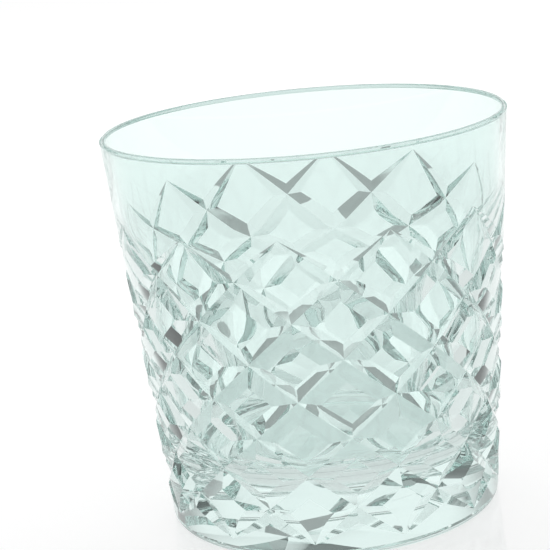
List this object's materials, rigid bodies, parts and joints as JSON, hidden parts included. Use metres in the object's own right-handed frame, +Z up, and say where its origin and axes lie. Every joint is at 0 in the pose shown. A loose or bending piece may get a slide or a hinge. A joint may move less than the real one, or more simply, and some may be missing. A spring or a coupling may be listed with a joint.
{
  "type": "whiskey tumbler",
  "caption": "Cut-glass whiskey tumbler: a tapered thick-walled cup with spiral V grooves crossing into diamonds, a plain band under the rim and a thick polished base.",
  "frame": {"origin": "centre of the base, on the flat ring that the tumbler stands on", "axes": "+Z up along the tumbler's axis of revolution towards the rim; X and Y across, with groove tips at 15 degrees from +X and every 30 degrees after that"},
  "size_m": [0.084, 0.084, 0.083],
  "materials": {
    "crystal_glass": "clear polished lead crystal with a faint green tint, polished cuts"
  },
  "bodies": {
    "root": {"tumbler_glass": "crystal_glass"}
  },
  "joints": []
}
